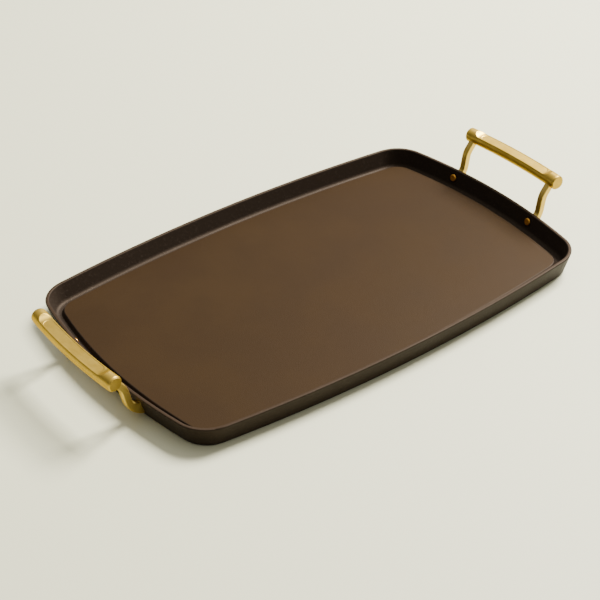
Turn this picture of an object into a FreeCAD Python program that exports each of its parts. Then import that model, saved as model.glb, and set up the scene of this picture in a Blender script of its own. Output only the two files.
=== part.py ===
# Double-burner flat-top griddle tray: one cast-iron pan with a low drafted wall, and a brass
# bail handle at each end. A handle is a bent bar on two curved legs, and a rivet through the
# pan's wall holds each leg.
# Frame: +X along the tray, +Z up, origin on the table under the middle of the tray. Millimetres.
import FreeCAD, Part
import math
import os
from FreeCAD import Vector

# ---- pan ----
panLength = 461.6          # over the rim, handles apart
panWidth = 291.4
panHeight = 21.5           # rim above the table
endBow = 19.3              # how far the middle of each short side stands out from its ends
sideBow = 17.4             # the same for each long side
cornerRadius = 34.0
wallDraft = 16.0           # degrees that the wall leans out
wallThickness = 3.6        # measured level
rimRound = 1.1
baseRound = 2.5
gutterLevel = 4.2          # floor of the grease gutter above the table
gutterWidth = 2.3          # its flat floor, between the hollow and the step
coveRadius = 4.0           # hollow where the wall meets the gutter
cookingLevel = 8.0         # cooking surface above the table
stepRun = 2.3              # how far the step up to the cooking surface leans in
stepRound = 0.9
recessDepth = 2.0          # hollow underside, inside the ring that the pan stands on
recessMargin = 4.8         # edge of the hollow, inside the edge of the cooking surface
recessRound = 1.2

# ---- handles ----
barDiameter = 14.4
barLength = 126.0          # along the bar
barGap = 15.8              # rim to bar at the middle of the end
barHeight = 50.2           # axis above the table
barChamfer = 1.3
flatDepth = 2.8            # flat pressed into the top of the bar
flatInset = 18.0           # bar's end to the level stretch of the flat
flatRunOut = 11.5          # radius of the scoop at each end of the flat
panelDepth = 0.25          # shallow sunk panel in the flat
panelBorder = 1.0          # flat left round the panel
legInset = 8.8             # bar's end to the middle of a leg
legThickness = 7.0         # seen from the side
legWidth = 6.6             # along the bar
legRound = 1.2
topLean = 40.0             # degrees from upright, where the leg enters the bar
shankLean = 11.0           # the same, along the middle of the leg
shankStandOff = 11.4       # middle of the leg from the rim, half way up to the bar
kneeRadius = 17.0
footDrop = 5.0             # top of the foot below the rim
footHeight = 13.5          # foot where it meets the wall
footDip = 20.0             # degrees that the foot's underside drops towards the wall
footInnerRadius = 6.5
footOuterRadius = 25.0
spigotDiameter = 4.4       # round end of the leg inside the bar
spigotLength = 5.0

# ---- rivets ----
rivetHead = 7.8
rivetDome = 1.7
rivetShank = 4.0
rivetDepth = 6.0           # shank inside the foot
rivetDrop = 4.3            # rivet's axis below the top of the foot, at the wall

fitGap = 0.04              # all round a shank or spigot in its hole
overCut = 1.0              # how far a cutting shape runs past what it cuts
sameWithin = 1e-3          # sizes and places this near each other count as the same

up = Vector(0, 0, 1)
draftSlope = math.tan(math.radians(wallDraft))
coveReach = coveRadius * math.tan(math.radians((90 - wallDraft) / 2))
gutterInset = draftSlope * (panHeight - gutterLevel) + wallThickness   # foot of the wall
stepInset = gutterInset + coveReach + gutterWidth
cookingInset = stepInset + stepRun
endRadius = ((panWidth / 2) ** 2 + endBow ** 2) / (2 * endBow)
sideRadius = ((panLength / 2) ** 2 + sideBow ** 2) / (2 * sideBow)
endCentre = panLength / 2 - endRadius          # x of the centre of the +X side's arc
sideCentre = panWidth / 2 - sideRadius         # y of the centre of the +Y side's arc
barRadius = panLength / 2 + barGap + barDiameter / 2 - endCentre   # the bar's own bend
legY = barLength / 2 - legInset                # legs and rivets stand at -legY and legY
footTop = panHeight - footDrop
footBottom = footTop - footHeight
rivetLevel = footTop - rivetDrop               # where a rivet's axis crosses the outside


def cornerCentre():
    """Centre of the corner arc at +X +Y: it touches both side arcs from inside."""
    endReach = endRadius - cornerRadius
    sideReach = sideRadius - cornerRadius
    span = math.hypot(endCentre, sideCentre)
    along = (endReach ** 2 - sideReach ** 2 + span ** 2) / (2 * span)
    away = math.sqrt(endReach ** 2 - along ** 2)
    unit = Vector(-endCentre / span, sideCentre / span, 0)
    side = Vector(-unit.y, unit.x, 0)
    return Vector(endCentre, 0, 0) + unit * along + side * away


def outline(inset, z):
    """Closed wire of the pan's plan shape: four side arcs and four corner arcs."""
    corner = cornerCentre()
    endArc = Vector(endCentre, 0, 0)
    sideArc = Vector(0, sideCentre, 0)
    toEnd = (corner - endArc).normalize()
    toSide = (corner - sideArc).normalize()
    radius = cornerRadius - inset
    onEnd = corner + toEnd * radius
    onSide = corner + toSide * radius
    onCorner = corner + (toEnd + toSide).normalize() * radius
    endMiddle = Vector(endCentre + endRadius - inset, 0, 0)
    sideMiddle = Vector(0, sideCentre + sideRadius - inset, 0)

    def place(point, signX, signY):
        return Vector(point.x * signX, point.y * signY, z)

    edges = []
    for signX, signY in ((1, 1), (-1, 1), (-1, -1), (1, -1)):
        first, last = (onEnd, onSide) if signX * signY > 0 else (onSide, onEnd)
        edges.append(Part.Arc(place(first, signX, signY), place(onCorner, signX, signY),
                              place(last, signX, signY)).toShape())
        if signX * signY > 0:
            edges.append(Part.Arc(place(onSide, signX, signY), place(sideMiddle, signX, signY),
                                  place(onSide, -signX, signY)).toShape())
        else:
            edges.append(Part.Arc(place(onEnd, signX, signY), place(endMiddle, signX, signY),
                                  place(onEnd, signX, -signY)).toShape())
    return Part.Wire(edges)


def tray(lowInset, lowZ, highInset, highZ):
    """Solid of the plan shape with leaning sides, between two levels."""
    return Part.makeLoft([outline(lowInset, lowZ), outline(highInset, highZ)], True, True)


def wallInset(z, behind=0.0):
    """Inset of the wall's outside at a level, or of a face that far behind it."""
    return draftSlope * (panHeight - z) + behind


def panBlock():
    """The pan's outside before it is hollowed."""
    return tray(wallInset(0), 0, 0, panHeight)


def edgesAt(shape, z, inset):
    """Edges that lie at one level on the plan shape of one inset."""
    ring = outline(inset, z)
    found = []
    for edge in shape.Edges:
        box = edge.BoundBox
        level = abs(box.ZMin - z) < sameWithin and abs(box.ZMax - z) < sameWithin
        start = Part.Vertex(edge.valueAt(edge.FirstParameter))
        if level and ring.distToShape(start)[0] < sameWithin:
            found.append(edge)
    return found


def panBody():
    """The pan before its rivet holes are drilled."""
    top = panHeight + overCut
    body = panBlock().cut(tray(gutterInset, gutterLevel, wallInset(top, wallThickness), top))
    stepSlope = stepRun / (cookingLevel - gutterLevel)
    body = body.fuse(tray(stepInset - stepSlope * overCut, gutterLevel - overCut,
                          cookingInset, cookingLevel))
    recessInset = cookingInset + recessMargin
    body = body.cut(tray(recessInset, -overCut, recessInset, recessDepth)).removeSplitter()
    rounds = (
        (coveRadius, gutterLevel, gutterInset),
        (stepRound, gutterLevel, stepInset),
        (stepRound, cookingLevel, cookingInset),
        (rimRound, panHeight, wallThickness),
        (rimRound, panHeight, 0),
        (baseRound, 0, wallInset(0)),
        (recessRound, recessDepth, recessInset),
    )
    for radius, z, inset in rounds:
        body = body.makeFillet(radius, edgesAt(body, z, inset))
    return body


def griddlePan(body):
    for y in (-legY, legY):
        hole = rivetHole(y)
        body = body.cut(hole).cut(turned(hole))
    return body


# ---- the +X handle; the -X one is turned half round ----

def barCentre(y):
    """Point on the bar's axis beside a leg."""
    return Vector(endCentre + math.sqrt(barRadius ** 2 - y ** 2), y, barHeight)


def bar():
    """Bent round bar with chamfered ends."""
    half = math.degrees(barLength / 2 / barRadius)
    axis = Vector(endCentre, 0, 0)
    ring = Part.makeCircle(barDiameter / 2, Vector(endCentre + barRadius, 0, barHeight),
                           Vector(0, 1, 0))
    face = Part.Face(Part.Wire([ring]))
    face.rotate(axis, up, -half)
    solid = face.revolve(axis, up, 2 * half)
    ends = [edge for edge in solid.Edges if edge.Curve.TypeId == "Part::GeomCircle"
            and abs(edge.Curve.Radius - barDiameter / 2) < sameWithin]
    return solid.makeChamfer(barChamfer, ends)


def flatCutter():
    """What is pressed away above the flat, with a scoop at each end."""
    low = barHeight + barDiameter / 2 - flatDepth
    high = barHeight + barDiameter / 2 + overCut
    rise = high - low
    reach = math.sqrt(flatRunOut ** 2 - (flatRunOut - rise) ** 2)
    turn = math.asin(reach / flatRunOut) / 2
    middleY = flatRunOut * math.sin(turn)
    middleZ = flatRunOut * (1 - math.cos(turn))
    x = endCentre + barRadius - barDiameter - endBow
    half = barLength / 2 - flatInset
    points = [Vector(x, -half, low), Vector(x, half, low), Vector(x, half + reach, high),
              Vector(x, -half - reach, high)]
    wire = Part.Wire([
        Part.LineSegment(points[0], points[1]).toShape(),
        Part.Arc(points[1], Vector(x, half + middleY, low + middleZ), points[2]).toShape(),
        Part.LineSegment(points[2], points[3]).toShape(),
        Part.Arc(points[3], Vector(x, -half - middleY, low + middleZ), points[0]).toShape(),
    ])
    return Part.Face(wire).extrude(Vector(2 * (barDiameter + endBow), 0, 0))


def panelCutter():
    """Shallow panel sunk into the flat, bent as the bar is."""
    low = barHeight + barDiameter / 2 - flatDepth - panelDepth
    flatHalf = math.sqrt((barDiameter / 2) ** 2 - (barDiameter / 2 - flatDepth) ** 2)
    reach = flatHalf - panelBorder
    swing = (barLength / 2 - flatInset - reach) / barRadius
    axis = Vector(endCentre, 0, low)

    def at(radius, angle):
        return axis + Vector(math.cos(angle), math.sin(angle), 0) * radius

    def endTip(angle, sign):
        tip = at(barRadius, angle)
        return tip + Vector(-math.sin(angle), math.cos(angle), 0) * (sign * reach)

    inner, outer = barRadius - reach, barRadius + reach
    wire = Part.Wire([
        Part.Arc(at(outer, -swing), at(outer, 0), at(outer, swing)).toShape(),
        Part.Arc(at(outer, swing), endTip(swing, 1), at(inner, swing)).toShape(),
        Part.Arc(at(inner, swing), at(inner, 0), at(inner, -swing)).toShape(),
        Part.Arc(at(inner, -swing), endTip(-swing, -1), at(outer, -swing)).toShape(),
    ])
    return Part.Face(wire).extrude(up * (panelDepth + overCut))


def intoBar():
    """Direction in which a leg enters the bar."""
    lean = math.radians(topLean)
    return Vector(math.sin(lean), 0, math.cos(lean))


def spigot(y, radius, length):
    """Round pin, from well inside the leg to a depth inside the bar."""
    start = barCentre(y) - intoBar() * (barDiameter / 2 + overCut)
    return Part.makeCylinder(radius, length + overCut, start, intoBar())


def grip():
    body = bar().cut(flatCutter()).cut(panelCutter())
    for y in (-legY, legY):
        body = body.cut(spigot(y, spigotDiameter / 2 + fitGap, spigotLength + fitGap))
    return body


def roundedOutline(corners, y):
    """Closed wire in the XZ plane: (x, z, radius) corners, each rounded by its radius."""
    edges = []
    joins = []
    count = len(corners)
    for index, (x, z, radius) in enumerate(corners):
        here = Vector(x, y, z)
        before = corners[index - 1]
        after = corners[(index + 1) % count]
        back = (Vector(before[0], y, before[1]) - here).normalize()
        ahead = (Vector(after[0], y, after[1]) - here).normalize()
        if radius == 0:
            joins.append((here, here))
            continue
        half = back.getAngle(ahead) / 2
        reach = radius / math.tan(half)
        bisector = (back + ahead).normalize()
        near = here + bisector * (radius / math.sin(half) - radius)
        joins.append((here + back * reach, here + ahead * reach))
        edges.append(Part.Arc(joins[-1][0], near, joins[-1][1]).toShape())
    for index in range(count):
        start = joins[index][1]
        end = joins[(index + 1) % count][0]
        edges.append(Part.LineSegment(start, end).toShape())
    return Part.Wire(Part.__sortEdges__(edges))


def lineCross(firstX, firstSlope, secondX, secondSlope):
    """Level where two leaning lines x = X + slope * z meet."""
    return (firstX - secondX) / (secondSlope - firstSlope)


def wallX(y, z):
    """Outside of the wall at one place along the end of the pan."""
    return endCentre + math.sqrt((endRadius - wallInset(z)) ** 2 - y ** 2)


def leg(y):
    """Curved leg: it drops from the bar, bends in, and butts on the wall."""
    centre = barCentre(y)
    topSlope = math.tan(math.radians(topLean))
    shankSlope = math.tan(math.radians(shankLean))
    half = legThickness / 2
    topX = centre.x - topSlope * centre.z
    rimX = wallX(y, panHeight)
    kneeLevel = (barHeight + panHeight) / 2
    shankX = rimX + shankStandOff - shankSlope * kneeLevel
    buried = rimX - wallInset(0) - wallThickness

    def side(sign, kneeR, footZ, footSlope, footR):
        upper = topX + sign * half / math.cos(math.radians(topLean))
        lower = shankX + sign * half / math.cos(math.radians(shankLean))
        kneeZ = lineCross(upper, topSlope, lower, shankSlope)
        atWall = wallX(y, footZ)
        heelZ = (footZ + footSlope * (lower - atWall)) / (1 - footSlope * shankSlope)
        top = (centre.x + sign * half * math.cos(math.radians(topLean)),
               centre.z - sign * half * math.sin(math.radians(topLean)), 0)
        return [top, (lower + shankSlope * kneeZ, kneeZ, kneeR),
                (lower + shankSlope * heelZ, heelZ, footR),
                (buried, footZ + footSlope * (buried - atWall), 0)]

    dip = math.tan(math.radians(footDip))
    outer = side(1, kneeRadius - half, footBottom, dip, footOuterRadius)
    inner = side(-1, kneeRadius + half, footTop, 0, footInnerRadius)
    face = Part.Face(roundedOutline(outer + inner[::-1], y - legWidth / 2))
    body = face.extrude(Vector(0, legWidth, 0))
    lengthwise = []
    for edge in body.Edges:
        box = edge.BoundBox
        flat = box.YMax - box.YMin < sameWithin
        ends = [vertex.Point for vertex in edge.Vertexes]
        buriedEnd = all(abs(point.x - buried) < sameWithin for point in ends)
        barEnd = all((point - Vector(centre.x, point.y, centre.z)).Length < half + sameWithin
                     for point in ends)
        if flat and not buriedEnd and not barEnd:
            lengthwise.append(edge)
    body = body.makeFillet(legRound, lengthwise)
    body = body.cut(bar()).cut(panBlock())
    body = body.fuse(spigot(y, spigotDiameter / 2, spigotLength)).removeSplitter()
    return body.cut(rivetHole(y))


def outOfWall(y):
    """Direction of a rivet's shank: square to the wall at one place along the end."""
    lean = math.radians(wallDraft)
    swing = math.asin(y / (endRadius - wallInset(rivetLevel)))
    return Vector(math.cos(swing) * math.cos(lean), math.sin(swing) * math.cos(lean),
                  -math.sin(lean))


def rivetSeat(y):
    """Where a rivet's axis crosses the outside of the wall."""
    return Vector(wallX(y, rivetLevel), y, rivetLevel)


def rivetHole(y):
    """Hole through the wall and into the foot."""
    through = wallThickness + overCut
    start = rivetSeat(y) - outOfWall(y) * through
    return Part.makeCylinder(rivetShank / 2 + fitGap, through + rivetDepth + fitGap, start,
                             outOfWall(y))


def rivet(y):
    """Domed head with a flat underside, and a plain shank, turned as one piece."""
    wallAlong = wallThickness * math.cos(math.radians(wallDraft))
    half = rivetHead / 2
    hollow = half ** 2 / (2 * (endRadius - wallInset(rivetLevel) - wallThickness))
    domeRadius = (half ** 2 + rivetDome ** 2) / (2 * rivetDome)
    turn = math.asin(half / domeRadius) / 2
    onDome = Vector(domeRadius * math.sin(turn), 0,
                    domeRadius * (1 - math.cos(turn)) - rivetDome)
    top, edge = Vector(0, 0, -rivetDome), Vector(half, 0, 0)
    tipLevel = wallAlong + hollow + rivetDepth
    neck, tip = Vector(rivetShank / 2, 0, 0), Vector(rivetShank / 2, 0, tipLevel)
    wire = Part.Wire([
        Part.Arc(top, onDome, edge).toShape(),
        Part.LineSegment(edge, neck).toShape(),
        Part.LineSegment(neck, tip).toShape(),
        Part.LineSegment(tip, Vector(0, 0, tipLevel)).toShape(),
        Part.LineSegment(Vector(0, 0, tipLevel), top).toShape(),
    ])
    body = Part.Face(wire).revolve(Vector(0, 0, 0), up, 360)
    seat = rivetSeat(y) - outOfWall(y) * (wallAlong + hollow)   # its rim just meets the curved wall
    body.Placement = FreeCAD.Placement(seat, FreeCAD.Rotation(up, outOfWall(y)))
    return body


def turned(shape):
    """The same piece on the -X handle."""
    copy = shape.copy()
    copy.rotate(Vector(0, 0, 0), up, 180)
    return copy


def save(name, shape):
    solids = shape.Solids
    if len(solids) != 1 or not solids[0].isValid():
        print("check this piece:", name, len(solids), [solid.isValid() for solid in solids])
    solids[0].exportStep("parts/" + name + ".step")
    print(name, "volume", round(solids[0].Volume / 1000, 2), "cm3")


os.makedirs("parts", exist_ok=True)
rightGrip = grip()
save("griddle_pan", griddlePan(panBody()))
save("right_grip", rightGrip)
save("left_grip", turned(rightGrip))
for end, otherEnd, y in (("front", "back", -legY), ("back", "front", legY)):
    for name, piece in (("leg", leg(y)), ("rivet", rivet(y))):
        save("right_" + end + "_" + name, piece)
        save("left_" + otherEnd + "_" + name, turned(piece))
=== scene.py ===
import bmesh
import bpy
from math import acos, asin, atan2, cos, hypot, pi, radians, sin, sqrt, tan
from mathutils import Matrix, Vector


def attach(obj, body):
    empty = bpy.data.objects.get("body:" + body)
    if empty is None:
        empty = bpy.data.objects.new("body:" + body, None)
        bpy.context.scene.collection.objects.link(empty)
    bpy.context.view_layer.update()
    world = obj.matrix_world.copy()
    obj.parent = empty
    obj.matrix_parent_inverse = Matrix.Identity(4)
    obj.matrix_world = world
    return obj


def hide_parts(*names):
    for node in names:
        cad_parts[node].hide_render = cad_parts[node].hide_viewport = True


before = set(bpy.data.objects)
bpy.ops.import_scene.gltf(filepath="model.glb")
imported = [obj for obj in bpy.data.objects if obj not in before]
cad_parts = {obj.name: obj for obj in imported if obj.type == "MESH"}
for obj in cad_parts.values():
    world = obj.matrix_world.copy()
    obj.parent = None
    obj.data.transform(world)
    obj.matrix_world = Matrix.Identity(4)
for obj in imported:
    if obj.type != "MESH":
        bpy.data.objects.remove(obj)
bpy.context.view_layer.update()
print("frame loaded:", len(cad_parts), "nodes")

cameraView = {
    "azimuth": -36.5,      # degrees round the tray, 0 looks along +Y
    "elevation": 35.09,
    "roll": -1.446,
    "distance": 1.4782,    # metres from the point that it aims at
    "aim": (-0.0189, -0.0044, 0.0),
    "lens": 96.0,
    "sensor": 36.0,
}


def addCamera():
    azimuth, elevation = radians(cameraView["azimuth"]), radians(cameraView["elevation"])
    back = Vector((sin(azimuth) * cos(elevation), -cos(azimuth) * cos(elevation), sin(elevation)))
    data = bpy.data.cameras.new("camera")
    data.lens = cameraView["lens"]
    data.sensor_width = cameraView["sensor"]
    camera = bpy.data.objects.new("camera", data)
    bpy.context.scene.collection.objects.link(camera)
    turn = (-back).to_track_quat("-Z", "Y").to_matrix().to_4x4()
    roll = Matrix.Rotation(radians(cameraView["roll"]), 4, "Z")
    stand = Matrix.Translation(Vector(cameraView["aim"]) + back * cameraView["distance"])
    camera.matrix_world = stand @ turn @ roll
    bpy.context.scene.camera = camera


studio = {
    "floorSize": 12.0,
    "floorColour": (0.57, 0.565, 0.395, 1),
    "floorRough": 0.6,
    "skyColour": (1.0, 0.985, 0.93, 1),
    "skyHigh": 1.22,           # strength overhead
    "skyLow": 0.46,            # strength along the horizon
    "riseFrom": 0.30, "riseTo": 0.95,      # heights on the sky between which it brightens
    "litSide": (0.90, 0.15, 0.25),         # the room is brighter this way
    "darkShare": 0.38,         # what is left of the light on the other side
    "sideFrom": -0.75, "sideTo": 0.55,     # where the dark side ends and the lit side begins
    "keyPlace": (1.9, 0.20, 2.15),
    "keySize": 1.2,
    "keyPower": 405.0,
    "keyColour": (1.0, 0.98, 0.94),
}


def node(tree, kind, **settings):
    made = tree.nodes.new(kind)
    for key, value in settings.items():
        setattr(made, key, value)
    return made


def remap(tree, value, low, high, newLow=0.0, newHigh=1.0, smooth=False):
    made = node(tree, "ShaderNodeMapRange")
    made.interpolation_type = "SMOOTHSTEP" if smooth else "LINEAR"
    for socketName, number in (("From Min", low), ("From Max", high),
                               ("To Min", newLow), ("To Max", newHigh)):
        made.inputs[socketName].default_value = number
    tree.links.new(value, made.inputs["Value"])
    return made.outputs["Result"]


def addFloor():
    mesh = bpy.data.meshes.new("floor")
    shape = bmesh.new()
    bmesh.ops.create_grid(shape, x_segments=1, y_segments=1, size=studio["floorSize"] / 2)
    shape.to_mesh(mesh)
    shape.free()
    floor = bpy.data.objects.new("floor", mesh)
    bpy.context.scene.collection.objects.link(floor)
    material = bpy.data.materials.new("paleFloor")
    material.use_nodes = True
    shader = material.node_tree.nodes["Principled BSDF"]
    shader.inputs["Base Color"].default_value = studio["floorColour"]
    shader.inputs["Roughness"].default_value = studio["floorRough"]
    mesh.materials.append(material)


def addSky():
    world = bpy.data.worlds.new("studio")
    world.use_nodes = True
    bpy.context.scene.world = world
    tree = world.node_tree
    background = tree.nodes["Background"]
    background.inputs["Color"].default_value = studio["skyColour"]
    direction = node(tree, "ShaderNodeTexCoord").outputs["Generated"]
    split = node(tree, "ShaderNodeSeparateXYZ")
    tree.links.new(direction, split.inputs[0])
    rise = remap(tree, split.outputs["Z"], studio["riseFrom"], studio["riseTo"],
                 studio["skyLow"], studio["skyHigh"], smooth=True)
    along = node(tree, "ShaderNodeVectorMath", operation="DOT_PRODUCT")
    along.inputs[1].default_value = studio["litSide"]
    tree.links.new(direction, along.inputs[0])
    side = remap(tree, along.outputs["Value"], studio["sideFrom"], studio["sideTo"],
                 studio["darkShare"], 1.0, smooth=True)
    both = node(tree, "ShaderNodeMath", operation="MULTIPLY")
    tree.links.new(rise, both.inputs[0])
    tree.links.new(side, both.inputs[1])
    tree.links.new(both.outputs[0], background.inputs["Strength"])


def addKey():
    data = bpy.data.lights.new("key", "AREA")
    data.shape = "SQUARE"
    data.size = studio["keySize"]
    data.energy = studio["keyPower"]
    data.color = studio["keyColour"]
    lamp = bpy.data.objects.new("key", data)
    lamp.location = studio["keyPlace"]
    lamp.rotation_euler = (-Vector(studio["keyPlace"])).to_track_quat("-Z", "Y").to_euler()
    bpy.context.scene.collection.objects.link(lamp)


addCamera()
addFloor()
addSky()
addKey()
print("camera, floor and light ready")


def newGroup(name, inputs, outputs):
    group = bpy.data.node_groups.new(name, "ShaderNodeTree")
    for socketName, kind, value in inputs:
        socket = group.interface.new_socket(socketName, in_out="INPUT", socket_type=kind)
        if value is not None:
            socket.default_value = value
    for socketName, kind in outputs:
        group.interface.new_socket(socketName, in_out="OUTPUT", socket_type=kind)
    return group, group.nodes.new("NodeGroupInput"), group.nodes.new("NodeGroupOutput")


def place(tree, group, vector=None, **values):
    made = node(tree, "ShaderNodeGroup", node_tree=group)
    for socketName, value in values.items():
        made.inputs[socketName].default_value = value
    if vector is not None:
        tree.links.new(vector, made.inputs["Vector"])
    return made


def calc(tree, operation, *values):
    made = node(tree, "ShaderNodeMath", operation=operation)
    for index, value in enumerate(values):
        if isinstance(value, (int, float)):
            made.inputs[index].default_value = value
        else:
            tree.links.new(value, made.inputs[index])
    return made.outputs[0]


def mixColour(tree, amount, first, second):
    # a mix node's colours are its inputs 6 and 7 and its output 2
    made = node(tree, "ShaderNodeMix", data_type="RGBA")
    for socket, value in ((made.inputs[0], amount), (made.inputs[6], first), (made.inputs[7], second)):
        if isinstance(value, (int, float, tuple)):
            socket.default_value = value
        else:
            tree.links.new(value, socket)
    return made.outputs[2]


def bump(tree, height, strength, distance, shader):
    made = node(tree, "ShaderNodeBump")
    made.inputs["Strength"].default_value = strength
    made.inputs["Distance"].default_value = distance
    tree.links.new(height, made.inputs["Height"])
    tree.links.new(made.outputs["Normal"], shader.inputs["Normal"])


cloudNoise = {"detail": 5.0, "rough": 0.55, "scale": 20.0, "low": 0.35, "high": 0.65}
grainNoise = {"detail": 3.0, "rough": 0.65, "scale": 900.0}


def cloudGroup():
    # patches of tone, as seasoning and handling leave them, or specks at a finer scale
    group, start, end = newGroup("cloud", [
        ("Vector", "NodeSocketVector", None), ("Scale", "NodeSocketFloat", cloudNoise["scale"]),
        ("Low", "NodeSocketFloat", cloudNoise["low"]), ("High", "NodeSocketFloat", cloudNoise["high"]),
    ], [("Mask", "NodeSocketFloat")])
    pattern = node(group, "ShaderNodeTexNoise")
    pattern.inputs["Detail"].default_value = cloudNoise["detail"]
    pattern.inputs["Roughness"].default_value = cloudNoise["rough"]
    spread = node(group, "ShaderNodeMapRange", interpolation_type="SMOOTHSTEP")
    group.links.new(start.outputs["Vector"], pattern.inputs["Vector"])
    group.links.new(start.outputs["Scale"], pattern.inputs["Scale"])
    group.links.new(pattern.outputs["Fac"], spread.inputs["Value"])
    group.links.new(start.outputs["Low"], spread.inputs["From Min"])
    group.links.new(start.outputs["High"], spread.inputs["From Max"])
    group.links.new(spread.outputs["Result"], end.inputs["Mask"])
    return group


def grainGroup():
    # fine surface grain, stretched one way on brushed metal
    group, start, end = newGroup("grain", [
        ("Vector", "NodeSocketVector", None), ("Stretch", "NodeSocketVector", (1, 1, 1)),
        ("Scale", "NodeSocketFloat", grainNoise["scale"]),
    ], [("Height", "NodeSocketFloat")])
    stretch = node(group, "ShaderNodeVectorMath", operation="MULTIPLY")
    pattern = node(group, "ShaderNodeTexNoise")
    pattern.inputs["Detail"].default_value = grainNoise["detail"]
    pattern.inputs["Roughness"].default_value = grainNoise["rough"]
    group.links.new(start.outputs["Vector"], stretch.inputs[0])
    group.links.new(start.outputs["Stretch"], stretch.inputs[1])
    group.links.new(stretch.outputs["Vector"], pattern.inputs["Vector"])
    group.links.new(start.outputs["Scale"], pattern.inputs["Scale"])
    group.links.new(pattern.outputs["Fac"], end.inputs["Height"])
    return group


cloud = cloudGroup()
grain = grainGroup()

ironLook = {
    "cooking": (0.0182, 0.0093, 0.0030, 1),
    "cookingWorn": (0.0222, 0.0118, 0.0041, 1),
    "wall": (0.0175, 0.0122, 0.0086, 1),
    "wallDusty": (0.0260, 0.0188, 0.0138, 1),
    "rim": (0.030, 0.0150, 0.0058, 1),     # bronze worn through along the top
    "sheen": (1.0, 0.70, 0.46, 1),         # tint of its reflections
    "gloss": 0.13,
    "cookingLevel": 0.008, "levelWithin": 0.0004,    # height of the cooking surface
    "upLow": 0.93, "upHigh": 0.99,         # upward facing that counts as the cooking surface
    "rimLow": 0.02138, "rimHigh": 0.02149, "rimShare": 0.4,      # heights of the worn band
    "patchScale": 13.0, "patchLow": 0.36, "patchHigh": 0.68,
    "speckScale": 420.0, "speckLow": 0.52, "speckHigh": 0.72,
    "grain": 1100.0, "speckBump": 0.5, "bump": 0.40, "bumpDepth": 0.00035,
    "wallRough": 0.56, "patchRough": -0.05, "cookingRough": -0.13,
}


def newMaterial(name):
    material = bpy.data.materials.new(name)
    material.use_nodes = True
    tree = material.node_tree
    coords = node(tree, "ShaderNodeTexCoord").outputs["Object"]
    return material, tree, tree.nodes["Principled BSDF"], coords


def seasonedIron():
    material, tree, shader, coords = newMaterial("seasonedIron")
    spot = node(tree, "ShaderNodeSeparateXYZ")
    tree.links.new(coords, spot.inputs[0])
    height = spot.outputs["Z"]
    facing = node(tree, "ShaderNodeSeparateXYZ")
    tree.links.new(node(tree, "ShaderNodeNewGeometry").outputs["Normal"], facing.inputs[0])
    facingUp = remap(tree, facing.outputs["Z"], ironLook["upLow"], ironLook["upHigh"], smooth=True)
    level = calc(tree, "COMPARE", height, ironLook["cookingLevel"], ironLook["levelWithin"])
    cooking = calc(tree, "MULTIPLY", facingUp, level)
    rim = remap(tree, height, ironLook["rimLow"], ironLook["rimHigh"], smooth=True)
    patches = place(tree, cloud, coords, Scale=ironLook["patchScale"], Low=ironLook["patchLow"],
                    High=ironLook["patchHigh"]).outputs["Mask"]
    specks = place(tree, cloud, coords, Scale=ironLook["speckScale"], Low=ironLook["speckLow"],
                   High=ironLook["speckHigh"]).outputs["Mask"]
    fine = place(tree, grain, coords, Scale=ironLook["grain"]).outputs["Height"]
    cookColour = mixColour(tree, patches, ironLook["cooking"], ironLook["cookingWorn"])
    wallColour = mixColour(tree, specks, ironLook["wall"], ironLook["wallDusty"])
    worn = calc(tree, "MULTIPLY", rim, ironLook["rimShare"])
    wallColour = mixColour(tree, worn, wallColour, ironLook["rim"])
    tree.links.new(mixColour(tree, cooking, wallColour, cookColour), shader.inputs["Base Color"])
    shader.inputs["Metallic"].default_value = 0.0
    shader.inputs["Specular IOR Level"].default_value = ironLook["gloss"]
    shader.inputs["Specular Tint"].default_value = ironLook["sheen"]
    rough = calc(tree, "MULTIPLY_ADD", patches, ironLook["patchRough"], ironLook["wallRough"])
    rough = calc(tree, "MULTIPLY_ADD", cooking, ironLook["cookingRough"], rough)
    tree.links.new(rough, shader.inputs["Roughness"])
    onWall = calc(tree, "MULTIPLY_ADD", cooking, -ironLook["speckBump"], ironLook["speckBump"])
    coarse = calc(tree, "MULTIPLY", onWall, specks)
    bump(tree, calc(tree, "ADD", fine, coarse), ironLook["bump"], ironLook["bumpDepth"], shader)
    return material


brassLook = {
    "bar": {"colour": (0.52, 0.350, 0.066, 1), "deep": (0.465, 0.305, 0.050, 1),
            "rough": 0.39, "stretch": (1.0, 0.04, 1.0), "grain": 2600.0},
    "leg": {"colour": (0.66, 0.465, 0.118, 1), "deep": (0.59, 0.410, 0.092, 1),
            "rough": 0.38, "stretch": (1.0, 1.0, 0.08), "grain": 2600.0},
    "rivet": {"colour": (0.62, 0.300, 0.050, 1), "deep": (0.46, 0.195, 0.026, 1),
              "rough": 0.30, "stretch": (1.0, 1.0, 1.0), "grain": 1800.0},
}

brassWear = {
    "edge": (0.88, 0.70, 0.36, 1),       # reflection at a grazing angle
    "patchScale": 70.0, "patchLow": 0.40, "patchHigh": 0.66,
    "grainLow": 0.3, "grainHigh": 0.7, "smoother": 0.04, "rougher": 0.07,
    "bump": 0.10, "bumpDepth": 0.00002,
}


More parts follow.
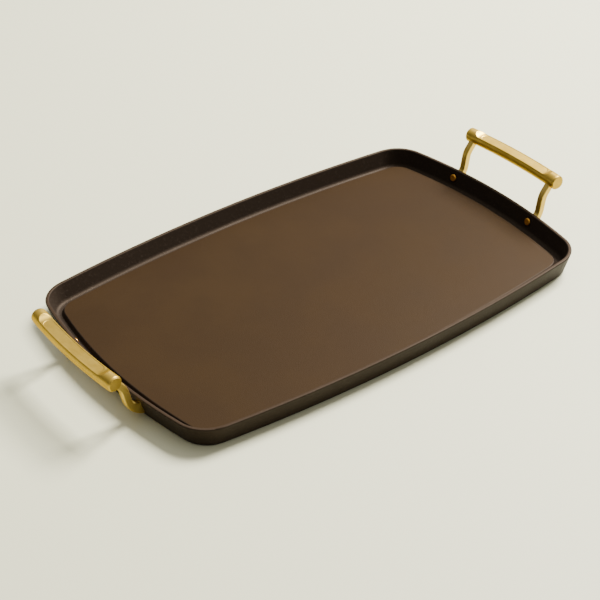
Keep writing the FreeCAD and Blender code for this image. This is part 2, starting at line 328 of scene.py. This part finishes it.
def brass(name):
    look = brassLook[name]
    material, tree, shader, coords = newMaterial(name + "Brass")
    patches = place(tree, cloud, coords, Scale=brassWear["patchScale"], Low=brassWear["patchLow"],
                    High=brassWear["patchHigh"]).outputs["Mask"]
    brushed = place(tree, grain, coords, Stretch=look["stretch"], Scale=look["grain"]).outputs["Height"]
    tree.links.new(mixColour(tree, patches, look["colour"], look["deep"]), shader.inputs["Base Color"])
    shader.inputs["Metallic"].default_value = 1.0
    shader.inputs["Specular Tint"].default_value = brassWear["edge"]
    rough = remap(tree, brushed, brassWear["grainLow"], brassWear["grainHigh"],
                  look["rough"] - brassWear["smoother"], look["rough"] + brassWear["rougher"])
    tree.links.new(rough, shader.inputs["Roughness"])
    bump(tree, brushed, brassWear["bump"], brassWear["bumpDepth"], shader)
    return material


def paint(nodeName, material):
    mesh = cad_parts[nodeName].data
    mesh.materials.clear()
    mesh.materials.append(material)


paint("griddle_pan", seasonedIron())
barBrass, legBrass, rivetBrass = brass("bar"), brass("leg"), brass("rivet")
print("materials ready")

pan = {
    "length": 0.4616, "width": 0.2914, "height": 0.0215,
    "endBow": 0.0193,          # how far each short side bows out
    "draft": 16.0,             # degrees that the wall leans out
}
endRadius = ((pan["width"] / 2) ** 2 + pan["endBow"] ** 2) / (2 * pan["endBow"])
endCentre = pan["length"] / 2 - endRadius      # x of the middle of the +X side's arc


def wallX(y, z):
    # outside of the pan's end wall, which bows out and leans
    inset = tan(radians(pan["draft"])) * (pan["height"] - z)
    return endCentre + sqrt((endRadius - inset) ** 2 - y ** 2)


def tube(segments, rings, where):
    # a closed tube of even rings, unit size at first, each vertex then put at where(round, along)
    shape = bmesh.new()
    bmesh.ops.create_cone(shape, cap_ends=True, cap_tris=False, segments=segments,
                          radius1=1.0, radius2=1.0, depth=2.0)
    lengthwise = [edge for edge in shape.edges if edge.verts[0].co.z * edge.verts[1].co.z < 0]
    bmesh.ops.subdivide_edges(shape, edges=lengthwise, cuts=rings - 2, use_grid_fill=False)
    for vertex in shape.verts:
        turn = atan2(-vertex.co.x, vertex.co.y) / (2 * pi) * segments    # the ring starts at +Y
        along = (vertex.co.z + 1.0) / 2.0 * (rings - 1)
        vertex.co = where(round(turn) % segments, round(along))
    return shape


def faceOutwards(shape):
    # the operator alone can turn a long bent shell inside out, so its volume settles it
    bmesh.ops.recalc_face_normals(shape, faces=shape.faces)
    if shape.calc_volume(signed=True) < 0:
        bmesh.ops.reverse_faces(shape, faces=shape.faces)


def shade(shape):
    # smooth all over, except that the caps, the only faces of many sides, stay flat
    for face in shape.faces:
        face.smooth = len(face.verts) <= 4
        if not face.smooth:
            for edge in face.edges:
                edge.smooth = False


def addPiece(name, shape, nodeName, material, turned):
    if turned:
        bmesh.ops.rotate(shape, verts=shape.verts, cent=(0, 0, 0), matrix=Matrix.Rotation(pi, 3, "Z"))
    faceOutwards(shape)
    shade(shape)
    mesh = bpy.data.meshes.new(name)
    shape.to_mesh(mesh)
    shape.free()
    mesh.materials.append(material)
    piece = bpy.data.objects.new(name, mesh)
    bpy.context.scene.collection.objects.link(piece)
    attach(piece, "root")
    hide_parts(nodeName)


bar = {
    "radius": 0.0072, "length": 0.126, "gap": 0.0158, "height": 0.0502,
    "chamfer": 0.0013, "chamferSoft": 0.00025,
    "flat": 0.0044,            # the flat above the bar's axis
    "flatHalf": 0.045,         # level stretch each way from the middle
    "scoop": 0.0115,           # radius of the run-out at each end of the flat
    "scoopShare": 0.98,        # part of its quarter circle that is used
    "soften": 0.00035,         # how far the flat's edge is rounded over
    "panelHalf": 0.0047, "panelDepth": 0.00025, "panelEdge": 0.00018,    # the plain sunk panel
    "tipAngle": 8.0,           # degrees kept between the crease loops past the scoop
    "easing": (0.0, 0.4, 1.0),                 # rings at the end, counted in chamferSoft
    "endRings": [0.0600, 0.0580, 0.0560],      # from the chamfer in to the scoop
    "scoopStart": 0.0545, "scoopStep": 0.0002, "scoopRings": 74,
    "flatRings": [0.0390, 0.0370, 0.0340, 0.0300, 0.0250, 0.0200, 0.0150, 0.0100, 0.0050],
}
barRadius = pan["length"] / 2 + bar["gap"] + bar["radius"] - endCentre

# part of the way from the middle of the flat out to its edge, then on round to the underside
onFlat = [0.0, 0.13, 0.26, 0.39, 0.51, 0.62, 0.70, 0.755, 0.79, 0.815, 0.84, 0.87, 0.91, 0.945,
          0.97, 0.985, 1.0]
pastEdge = [0.005, 0.012, 0.022, 0.036, 0.055, 0.08, 0.115, 0.155, 0.20, 0.25, 0.30, 0.355, 0.41,
            0.465, 0.52, 0.58, 0.64, 0.70, 0.76, 0.82, 0.88, 0.94, 1.0]
halfRound = len(onFlat) + len(pastEdge) - 1


def barStations():
    # where the rings stand along the bar, close together where the flat runs out
    half = bar["length"] / 2
    edge, soft = half - bar["chamfer"], bar["chamferSoft"]
    outer = [half - soft * share for share in bar["easing"]]
    outer += [edge + soft, edge, edge - soft, edge - 3 * soft]
    outer += bar["endRings"]
    outer += [bar["scoopStart"] - bar["scoopStep"] * step for step in range(bar["scoopRings"])]
    outer += bar["flatRings"]
    return [-y for y in outer] + [0.0] + outer[::-1]


stations = barStations()


def flatLevel(y):
    # height of the flat above the bar's axis, rising along the scoop at each end
    past = min(max(abs(y) - bar["flatHalf"], 0.0), bar["scoop"] * bar["scoopShare"])
    return bar["flat"] + bar["scoop"] - sqrt(bar["scoop"] ** 2 - past ** 2)


def endFall(y):
    # how far the chamfer takes the surface in, with its two edges eased
    def ramp(value, soft):
        return (value + sqrt(value ** 2 + soft ** 2)) / 2

    past = abs(y) - (bar["length"] / 2 - bar["chamfer"])
    return min(ramp(past, bar["chamferSoft"]), bar["chamfer"])


def lesser(first, second, soft):
    # the smaller of two heights, rounded over where they cross
    mix = max(soft - abs(first - second), 0.0) / soft
    return min(first, second) - mix * mix * soft / 4


def barPoint(index, along):
    # index runs from the top round to the underside, and back up the bar's other side
    y = stations[along]
    side = 1 if index <= halfRound else -1
    index = index if index <= halfRound else 2 * halfRound - index
    radius = bar["radius"] - endFall(y)
    level = flatLevel(y)
    crease = max(acos(min(level / bar["radius"], 1.0)), radians(bar["tipAngle"]))
    if index < len(onFlat):
        angle = asin(onFlat[index] * sin(crease))
    else:
        angle = crease + pastEdge[index - len(onFlat)] * (pi - crease)
    x, z = radius * sin(angle), radius * cos(angle)
    if z > 0:
        # the flat, then the panel sunk in it, where reach is how far outside its edge a point is
        z = lesser(z, level, bar["soften"])
        reach = hypot(x, max(abs(y) - bar["flatHalf"] + bar["panelHalf"], 0.0)) - bar["panelHalf"]
        sunk = min(max(0.5 - reach / bar["panelEdge"], 0.0), 1.0)
        z -= bar["panelDepth"] * sunk * sunk * (3 - 2 * sunk)
    swing = y / barRadius
    out = barRadius + side * x
    return (endCentre + out * cos(swing), out * sin(swing), bar["height"] + z)


def addBar(nodeName, turned):
    shape = tube(2 * halfRound, len(stations), barPoint)
    addPiece(nodeName + "_bar", shape, nodeName, barBrass, turned)


legPlan = {
    "inset": 0.0088,           # bar's end to the middle of a leg
    "thick": 0.0070, "wide": 0.0066, "round": 0.0015,
    "topLean": 40.0, "shankLean": 11.0,        # degrees off upright
    "standOff": 0.0114,        # rim to the middle of the shank, halfway up to the bar
    "kneeRadius": 0.017, "heelInner": 0.0065, "heelOuter": 0.025,
    "footTop": 0.0165, "footHeight": 0.0135,   # where the foot meets the wall
    "footDip": 20.0,           # degrees that its underside dips towards the wall
    "intoBar": 0.0050,         # top of the leg below the bar's axis, along the leg
    "kneeSteps": 12, "heelSteps": 16, "cornerSteps": 5,
    "hold": 0.0004,            # from each rounded edge to the extra loops that keep the sides flat
}
legY = bar["length"] / 2 - legPlan["inset"]


def lineMeet(firstX, firstSlope, secondX, secondSlope):
    # height where two leaning lines x = X + slope * z meet
    return (firstX - secondX) / (secondSlope - firstSlope)


def bend(before, corner, after, radius, steps):
    # points along an arc that rounds one corner of a path
    back, ahead = (before - corner).normalized(), (after - corner).normalized()
    half = back.angle(ahead) / 2
    middle = corner + (back + ahead).normalized() * (radius / sin(half))
    first = corner + back * (radius / tan(half)) - middle
    last = corner + ahead * (radius / tan(half)) - middle
    return [middle + first.slerp(last, step / steps) * radius for step in range(steps + 1)]


def legSide(y, sign):
    # one edge of the leg seen from the side, from inside the bar down to the wall:
    # the outer edge with sign 1, the inner one with -1
    half = legPlan["thick"] / 2
    topSlope, shankSlope = tan(radians(legPlan["topLean"])), tan(radians(legPlan["shankLean"]))
    centreX = endCentre + sqrt(barRadius ** 2 - y ** 2)
    rimX = wallX(y, pan["height"])
    upper = centreX - topSlope * bar["height"] + sign * half / cos(radians(legPlan["topLean"]))
    kneeLevel = (bar["height"] + pan["height"]) / 2
    lower = rimX + legPlan["standOff"] - shankSlope * kneeLevel
    lower += sign * half / cos(radians(legPlan["shankLean"]))
    kneeZ = lineMeet(upper, topSlope, lower, shankSlope)
    topZ = bar["height"] - legPlan["intoBar"] * cos(radians(legPlan["topLean"]))
    topZ -= sign * half * sin(radians(legPlan["topLean"]))
    outside = sign > 0
    footZ = legPlan["footTop"] - (legPlan["footHeight"] if outside else 0.0)
    slope = tan(radians(legPlan["footDip"])) if outside else 0.0
    atWall = wallX(y, footZ)
    heelZ = (footZ + slope * (lower - atWall)) / (1 - slope * shankSlope)
    top = Vector((upper + topSlope * topZ, topZ))
    knee = Vector((lower + shankSlope * kneeZ, kneeZ))
    heel = Vector((lower + shankSlope * heelZ, heelZ))
    wall = Vector((atWall, footZ))
    heelRadius = legPlan["heelOuter"] if outside else legPlan["heelInner"]
    kneeArc = bend(top, knee, heel, legPlan["kneeRadius"] - sign * half, legPlan["kneeSteps"])
    heelArc = bend(knee, heel, wall, heelRadius, legPlan["heelSteps"])
    return [top] + kneeArc + heelArc + [wall]


def legSection(thick):
    # rounded rectangle as (across the leg's thickness, along the bar), round its middle
    wide, radius, hold = legPlan["wide"], legPlan["round"], legPlan["hold"]
    steps = legPlan["cornerSteps"]
    points = []
    for corner in range(4):
        signA = 1 if corner in (0, 3) else -1
        signB = 1 if corner in (0, 1) else -1
        centre = Vector((signA * (thick / 2 - radius), signB * (wide / 2 - radius)))
        turns = [radians(90 * corner + 90 * step / steps) for step in range(steps + 1)]
        arc = [centre + Vector((cos(turn), sin(turn))) * radius for turn in turns]
        ahead = Vector((-sin(turns[-1]), cos(turns[-1]))) * hold
        behind = Vector((sin(turns[0]), -cos(turns[0]))) * hold
        points += [arc[0] + behind] + arc + [arc[-1] + ahead]
    return points


def addLeg(nodeName, y, turned):
    outer, inner = legSide(y, 1), legSide(y, -1)
    last = len(outer) - 1
    sections = [legSection((a - b).length) for a, b in zip(outer, inner)]

    def legPoint(index, along):
        across, wide = sections[along][index]
        a, b = outer[along], inner[along]
        spot = (a + b) / 2 + (a - b).normalized() * across
        x = wallX(y + wide, spot.y) if along == last else spot.x
        return (x, y + wide, spot.y)

    shape = tube(len(sections[0]), len(outer), legPoint)
    addPiece(nodeName + "_piece", shape, nodeName, legBrass, turned)


rivetPlan = {
    "level": 0.0122,           # where its axis crosses the outside of the wall
    "head": 0.0039, "dome": 0.0017, "dish": 0.00012,
    "shank": 0.0020, "reach": 0.0090, "steps": 48, "mergeWithin": 1e-6,
    "wall": 0.0036,            # thickness of the pan's wall, measured level
    # share of the head's radius, with the share of the dish's depth or of the dome's height
    "dishCurve": [(0.0, 1.0), (0.30, 0.8), (0.52, 0.2)],
    "lip": 0.66, "lipDrop": 0.00002,
    "domeCurve": [(0.78, 0.93), (0.88, 0.80), (0.95, 0.61), (0.99, 0.36), (1.0, 0.0)],
}


def addRivet(nodeName, y, turned):
    # profile from the middle of the head round to the end of the shank, spun once
    head, dome, shank, reach = (rivetPlan[key] for key in ("head", "dome", "shank", "reach"))
    profile = [(head * out, dome - rivetPlan["dish"] * down) for out, down in rivetPlan["dishCurve"]]
    profile += [(head * rivetPlan["lip"], dome - rivetPlan["lipDrop"])]
    profile += [(head * out, dome * up) for out, up in rivetPlan["domeCurve"]]
    profile += [(shank, 0.0), (shank, -reach), (0.0, -reach)]
    shape = bmesh.new()
    line = [shape.verts.new((x, 0, z)) for x, z in profile]
    edges = [shape.edges.new(pair) for pair in zip(line, line[1:])]
    bmesh.ops.spin(shape, geom=line + edges, cent=(0, 0, 0), axis=(0, 0, 1), angle=2 * pi,
                   steps=rivetPlan["steps"], use_merge=True, use_duplicate=False)
    bmesh.ops.remove_doubles(shape, verts=shape.verts, dist=rivetPlan["mergeWithin"])
    lean = radians(pan["draft"])
    level = rivetPlan["level"]
    radius = endRadius - tan(lean) * (pan["height"] - level)
    swing = asin(y / radius)
    outward = Vector((cos(swing) * cos(lean), sin(swing) * cos(lean), -sin(lean)))
    # the head's rim bears on the bowed wall, and its middle stands off by this much
    hollow = head ** 2 / (2 * (radius - rivetPlan["wall"]))
    seat = Vector((wallX(y, level), y, level)) - outward * (rivetPlan["wall"] * cos(lean) + hollow)
    turn = (-outward).to_track_quat("Z", "Y").to_matrix().to_4x4()
    bmesh.ops.transform(shape, matrix=Matrix.Translation(seat) @ turn, verts=shape.verts)
    addPiece(nodeName + "_piece", shape, nodeName, rivetBrass, turned)


for side, turned in (("right", False), ("left", True)):
    addBar(side + "_grip", turned)
    for end, y in (("front", -legY), ("back", legY)):
        builtAt = -y if turned else y          # a left piece is the right one turned half round
        addLeg(side + "_" + end + "_leg", builtAt, turned)
        addRivet(side + "_" + end + "_rivet", builtAt, turned)
print("handles and rivets modelled")
